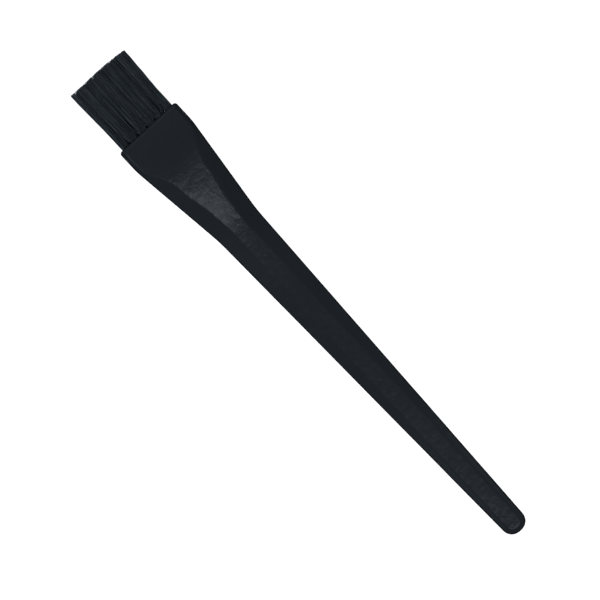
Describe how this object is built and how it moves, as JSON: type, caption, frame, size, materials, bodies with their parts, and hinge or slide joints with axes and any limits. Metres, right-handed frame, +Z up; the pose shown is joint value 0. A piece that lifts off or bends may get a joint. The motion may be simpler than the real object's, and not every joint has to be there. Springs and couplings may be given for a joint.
{
  "type": "bee brush",
  "caption": "Small flat hand brush: one-piece black moulded handle with a block head, sloping neck and slim taper, and short square-cut nylon tufts that flex as one block.",
  "frame": {"origin": "on the plane of the handle's flat back, under the middle of the overall box of handle and bristles", "axes": "+Y along the brush from the tail to the bristle tips, +X across its width, +Z up out of the flat back"},
  "size_m": [0.0212, 0.175, 0.01],
  "materials": {
    "moulded_plastic": "satin",
    "nylon_bristle": "satin",
    "anchor_wire": "satin"
  },
  "bodies": {
    "handle": {"handle": "moulded_plastic", "tuft_root_top_1": "nylon_bristle", "anchor_top_1": "anchor_wire", "tuft_root_top_2": "nylon_bristle", "anchor_top_2": "anchor_wire", "tuft_root_top_3": "nylon_bristle", "anchor_top_3": "anchor_wire", "tuft_root_top_4": "nylon_bristle", "anchor_top_4": "anchor_wire", "tuft_root_top_5": "nylon_bristle", "anchor_top_5": "anchor_wire", "tuft_root_top_6": "nylon_bristle", "anchor_top_6": "anchor_wire", "tuft_root_middle_1": "nylon_bristle", "anchor_middle_1": "anchor_wire", "tuft_root_middle_2": "nylon_bristle", "anchor_middle_2": "anchor_wire", "tuft_root_middle_3": "nylon_bristle", "anchor_middle_3": "anchor_wire", "tuft_root_middle_4": "nylon_bristle", "anchor_middle_4": "anchor_wire", "tuft_root_middle_5": "nylon_bristle", "anchor_middle_5": "anchor_wire", "tuft_root_bottom_1": "nylon_bristle", "anchor_bottom_1": "anchor_wire", "tuft_root_bottom_2": "nylon_bristle", "anchor_bottom_2": "anchor_wire", "tuft_root_bottom_3": "nylon_bristle", "anchor_bottom_3": "anchor_wire", "tuft_root_bottom_4": "nylon_bristle", "anchor_bottom_4": "anchor_wire", "tuft_root_bottom_5": "nylon_bristle", "anchor_bottom_5": "anchor_wire", "tuft_root_bottom_6": "nylon_bristle", "anchor_bottom_6": "anchor_wire"},
    "top_tuft_row": {"tuft_top_1": "nylon_bristle", "tuft_top_2": "nylon_bristle", "tuft_top_3": "nylon_bristle", "tuft_top_4": "nylon_bristle", "tuft_top_5": "nylon_bristle", "tuft_top_6": "nylon_bristle"},
    "middle_tuft_row": {"tuft_middle_1": "nylon_bristle", "tuft_middle_2": "nylon_bristle", "tuft_middle_3": "nylon_bristle", "tuft_middle_4": "nylon_bristle", "tuft_middle_5": "nylon_bristle"},
    "bottom_tuft_row": {"tuft_bottom_1": "nylon_bristle", "tuft_bottom_2": "nylon_bristle", "tuft_bottom_3": "nylon_bristle", "tuft_bottom_4": "nylon_bristle", "tuft_bottom_5": "nylon_bristle", "tuft_bottom_6": "nylon_bristle"}
  },
  "joints": [
    {"name": "middle_row_bend", "type": "hinge", "parent": "handle", "child": "middle_tuft_row", "pos_m": [0, 0.06685, 0.005], "axis": [1, 0, 0], "range_deg": [-30, 30], "stiffness_Nm_per_rad": 0.02},
    {"name": "top_row_bend", "type": "hinge", "parent": "handle", "child": "top_tuft_row", "pos_m": [0, 0.06685, 0.00765], "axis": [1, 0, 0], "range_deg": [-30, 30], "stiffness_Nm_per_rad": 0.02},
    {"name": "bottom_row_bend", "type": "hinge", "parent": "handle", "child": "bottom_tuft_row", "pos_m": [0, 0.06685, 0.00235], "axis": [1, 0, 0], "range_deg": [-30, 30], "stiffness_Nm_per_rad": 0.02}
  ],
  "couplings": [
    {"joint": "top_row_bend", "follows": "middle_row_bend", "ratio": 1},
    {"joint": "bottom_row_bend", "follows": "middle_row_bend", "ratio": 1}
  ]
}
